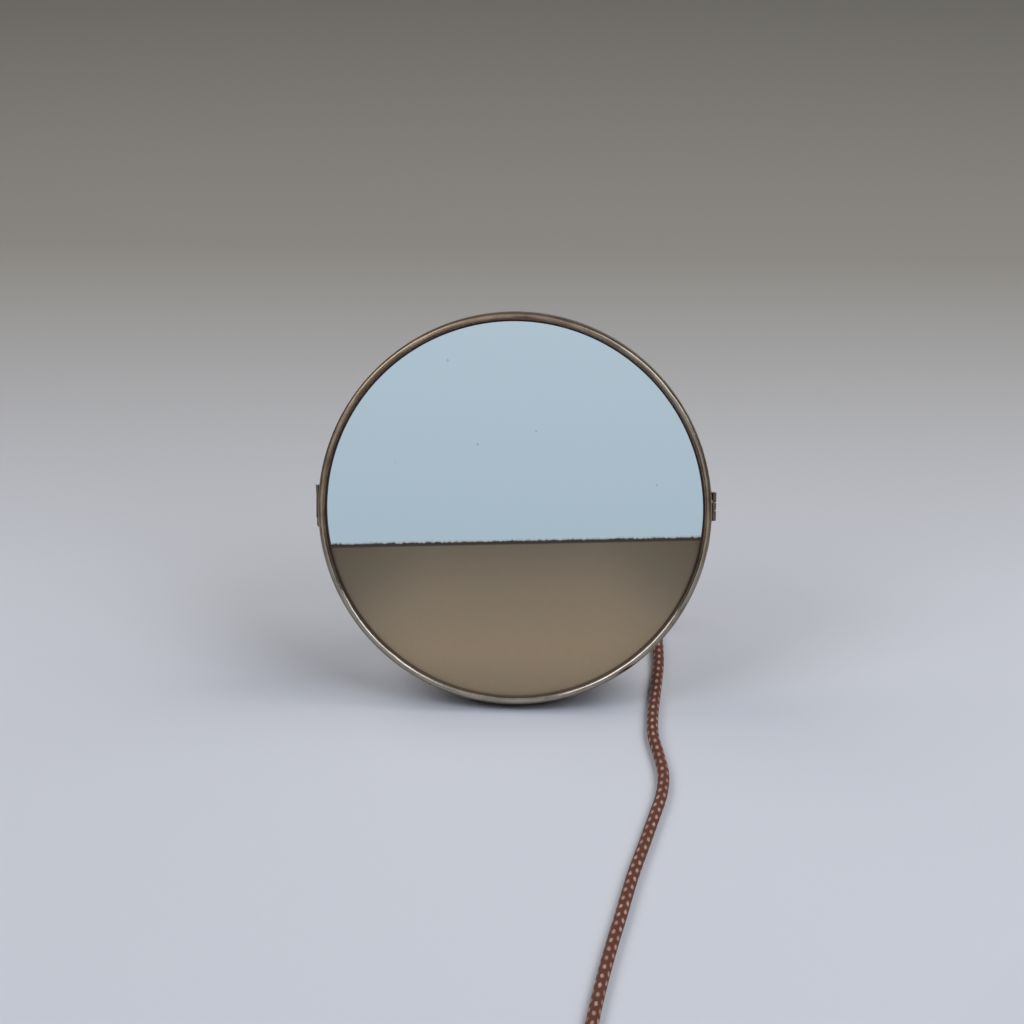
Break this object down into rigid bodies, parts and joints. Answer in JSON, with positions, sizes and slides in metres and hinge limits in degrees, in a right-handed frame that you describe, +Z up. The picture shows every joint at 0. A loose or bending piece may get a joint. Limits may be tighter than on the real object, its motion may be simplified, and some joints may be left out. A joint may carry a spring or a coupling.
{
  "type": "lighted mirror",
  "caption": "Round leaning vanity mirror, silvered above and frosted below over a lamp, with a hinged metal rim, wire stand and braided cord.",
  "frame": {"origin": "on the table, under the middle of the mirror and its stand without the cord", "axes": "+X to the right as seen from the front, +Y to the back, +Z up; the glass faces -Y and leans back"},
  "size_m": [0.2148, 0.5926, 0.2052],
  "materials": {
    "nickel": "worn nickel plate on brass",
    "brass": "dull brass",
    "glass": "clear in front, frosted behind below, silvered above",
    "mirror": "silvering with grey backing paint",
    "felt": "thin felt",
    "porcelain": "white glaze",
    "lamp_glass": "clear lamp glass",
    "tungsten": "drawn wire",
    "enamel": "white stove enamel",
    "bakelite": "moulded dark brown",
    "cotton_braid": "rust-brown cotton braid with cream flecks",
    "cotton_tape": "woven cotton tape"
  },
  "bodies": {
    "case": {"hinge_leaf_case": "nickel", "hinge_pin": "nickel", "hinge_rivet_low": "nickel", "hinge_rivet_high": "nickel", "clasp_base": "nickel", "clasp_rivet": "nickel", "holder_cup": "porcelain", "holder_sleeve": "brass", "holder_contact": "brass", "lamp_cap": "brass", "lamp_glass": "lamp_glass", "lamp_stem": "lamp_glass", "lamp_filament": "tungsten", "holder_bracket": "nickel", "holder_screw": "brass", "bracket_rivet_left": "nickel", "bracket_rivet_right": "nickel", "reflector": "enamel", "reflector_rivet_left": "nickel", "reflector_rivet_right": "nickel", "stand_lug_left": "nickel", "lug_rivet_left_low": "nickel", "lug_rivet_left_high": "nickel", "stand_lug_right": "nickel", "lug_rivet_right_low": "nickel", "lug_rivet_right_high": "nickel", "wall_hanger": "nickel", "hanger_rivet_left": "nickel", "hanger_rivet_right": "nickel", "cord_gland": "bakelite", "gland_nut": "bakelite", "switch_body": "bakelite", "switch_bush": "nickel", "switch_ring_nut": "nickel", "casing_drum": "nickel", "lead_cord_switch": "cotton_braid", "lead_cord_lamp": "cotton_braid", "lead_switch_lamp": "cotton_braid", "cord_lead": "cotton_braid", "cord_coil": "cotton_braid", "cord_tie": "cotton_tape", "plug_body": "bakelite", "plug_pin_left": "brass", "plug_pin_right": "brass"},
    "door": {"door_ring": "nickel", "glass_packing": "felt", "glass_disc": "glass", "silver_backing": "mirror", "retaining_ring": "brass", "hinge_leaf_door": "nickel"},
    "clasp": {"clasp_tongue": "nickel"},
    "stand": {"stand_bail": "nickel"},
    "lever": {"switch_lever": "nickel"}
  },
  "joints": [
    {"name": "door_hinge", "type": "hinge", "parent": "case", "child": "door", "pos_m": [0.10602, -0.00672, 0.10342], "axis": [0, 0.2924, 0.9563], "range_deg": [0, 110]},
    {"name": "clasp_spring", "type": "hinge", "parent": "case", "child": "clasp", "pos_m": [-0.10528, -0.01194, 0.0956], "axis": [0, -0.9563, 0.2924], "range_deg": [0, 12], "stiffness_Nm_per_rad": 0.5},
    {"name": "stand_fold", "type": "hinge", "parent": "case", "child": "stand", "pos_m": [0.00002, 0.0301, 0.10209], "axis": [-1, 0, 0], "range_deg": [0, 27]},
    {"name": "switch_tip", "type": "hinge", "parent": "case", "child": "lever", "pos_m": [0.04602, 0.03599, 0.12957], "axis": [1, 0, 0], "range_deg": [0, 24]}
  ]
}
